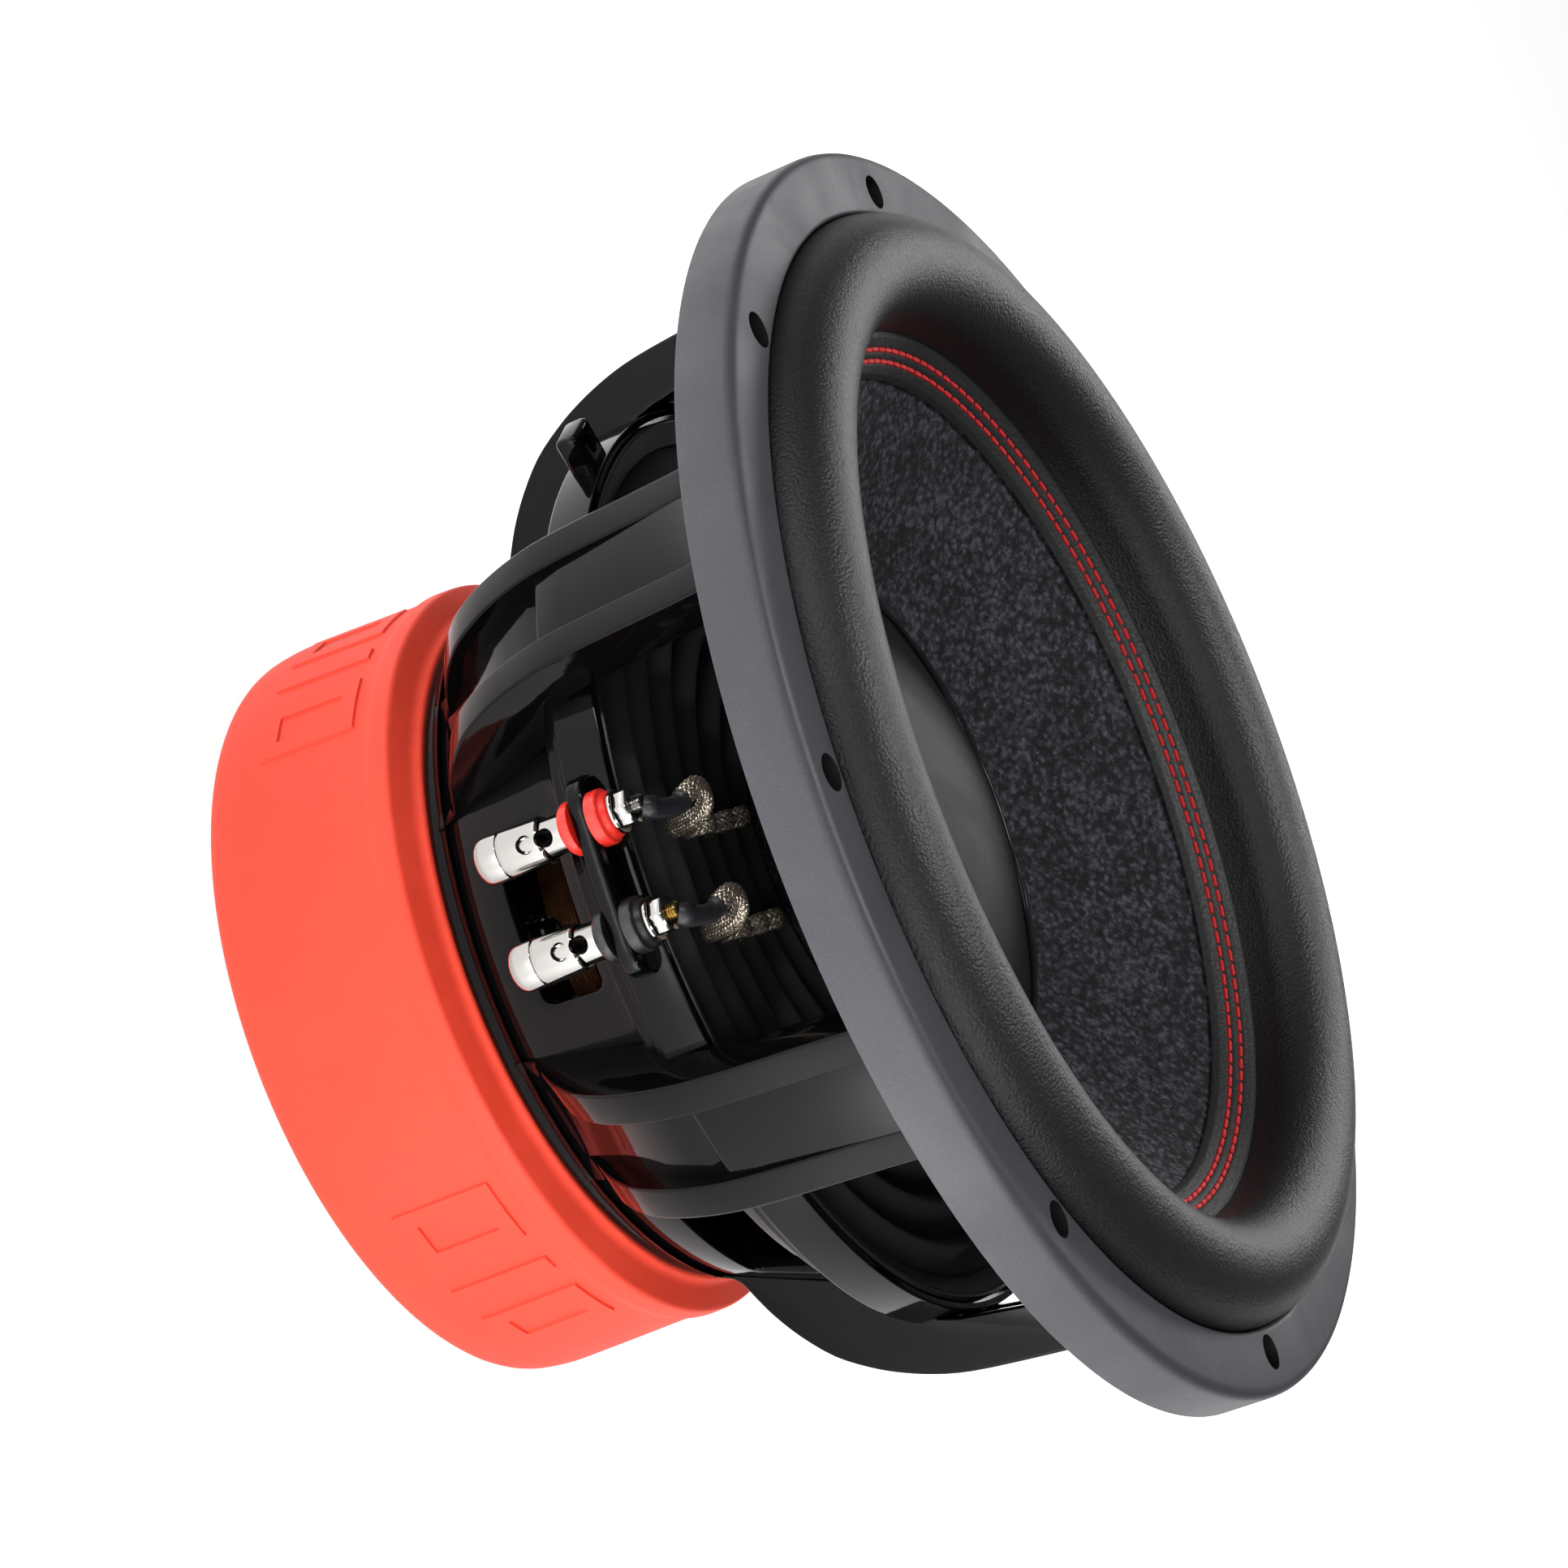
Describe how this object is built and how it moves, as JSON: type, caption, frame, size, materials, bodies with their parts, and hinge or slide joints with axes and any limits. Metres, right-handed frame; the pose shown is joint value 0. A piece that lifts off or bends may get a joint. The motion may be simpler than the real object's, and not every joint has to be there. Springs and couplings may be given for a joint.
{
  "type": "car subwoofer speaker",
  "caption": "Round car subwoofer driver: cast spoked basket, trim ring, half-roll surround, paper cone, dust cap, vented ferrite motor in a rubber boot and sprung push terminals.",
  "frame": {"origin": "on the speaker's axis, on the rear face of the boot that it stands on", "axes": "+Z along the axis from the motor to the cone's front; -Y towards the front pair of terminals"},
  "size_m": [0.318, 0.318, 0.1994],
  "materials": {
    "gloss_black": "gloss",
    "ring_grey": "satin",
    "surround_black": "matte, fine grained",
    "cone_fibre": "rough fibre",
    "cap_black": "smooth satin",
    "boot_red": "matte",
    "ferrite": "matte",
    "zinc_steel": "plated",
    "spider_cloth": "woven",
    "aluminium": "mill",
    "copper": "enamelled wire",
    "nickel": "polished",
    "insulator_red": "satin",
    "insulator_black": "satin",
    "shrink_black": "satin",
    "tinned_braid": "tinned braid"
  },
  "bodies": {
    "chassis": {"basket": "gloss_black", "trim_ring": "ring_grey", "top_plate": "zinc_steel", "magnet_front": "ferrite", "magnet_rear": "ferrite", "back_plate": "zinc_steel", "magnet_boot": "boot_red", "shorting_sleeve": "copper", "spider_ring": "insulator_black", "basket_screw_1": "zinc_steel", "basket_screw_2": "zinc_steel", "basket_screw_3": "zinc_steel", "basket_screw_4": "zinc_steel", "basket_screw_5": "zinc_steel", "basket_screw_6": "zinc_steel", "terminal_post_1": "nickel", "terminal_spring_1": "zinc_steel", "rear_insulator_1": "insulator_red", "front_insulator_1": "insulator_red", "terminal_nut_1": "nickel", "lead_sleeve_1": "shrink_black", "terminal_post_2": "nickel", "terminal_spring_2": "zinc_steel", "rear_insulator_2": "insulator_black", "front_insulator_2": "insulator_black", "terminal_nut_2": "nickel", "lead_sleeve_2": "shrink_black", "terminal_post_3": "nickel", "terminal_spring_3": "zinc_steel", "rear_insulator_3": "insulator_red", "front_insulator_3": "insulator_red", "terminal_nut_3": "nickel", "lead_sleeve_3": "shrink_black", "terminal_post_4": "nickel", "terminal_spring_4": "zinc_steel", "rear_insulator_4": "insulator_black", "front_insulator_4": "insulator_black", "terminal_nut_4": "nickel", "lead_sleeve_4": "shrink_black"},
    "cone_assembly": {"cone": "cone_fibre", "dust_cap": "cap_black", "coil_former": "aluminium", "voice_coil": "copper", "surround": "surround_black", "spider": "spider_cloth", "tinsel_lead_1": "tinned_braid", "tinsel_lead_2": "tinned_braid", "tinsel_lead_3": "tinned_braid", "tinsel_lead_4": "tinned_braid"},
    "push_button_1": {"push_sleeve_1": "nickel"},
    "push_button_2": {"push_sleeve_2": "nickel"},
    "push_button_3": {"push_sleeve_3": "nickel"},
    "push_button_4": {"push_sleeve_4": "nickel"}
  },
  "joints": [
    {"name": "cone_travel", "type": "slide", "parent": "chassis", "child": "cone_assembly", "axis": [0, 0, 1], "range_m": [-0.014, 0.014], "stiffness_N_per_m": 7000, "deforming": ["surround", "spider", "tinsel_lead_1", "tinsel_lead_2", "tinsel_lead_3", "tinsel_lead_4"]},
    {"name": "push_terminal_1", "type": "slide", "parent": "chassis", "child": "push_button_1", "axis": [0, 0, 1], "range_m": [0, 0.0048], "stiffness_N_per_m": 800, "springref_m": -0.003, "deforming": ["terminal_spring_1"]},
    {"name": "push_terminal_2", "type": "slide", "parent": "chassis", "child": "push_button_2", "axis": [0, 0, 1], "range_m": [0, 0.0048], "stiffness_N_per_m": 800, "springref_m": -0.003, "deforming": ["terminal_spring_2"]},
    {"name": "push_terminal_3", "type": "slide", "parent": "chassis", "child": "push_button_3", "axis": [0, 0, 1], "range_m": [0, 0.0048], "stiffness_N_per_m": 800, "springref_m": -0.003, "deforming": ["terminal_spring_3"]},
    {"name": "push_terminal_4", "type": "slide", "parent": "chassis", "child": "push_button_4", "axis": [0, 0, 1], "range_m": [0, 0.0048], "stiffness_N_per_m": 800, "springref_m": -0.003, "deforming": ["terminal_spring_4"]}
  ]
}
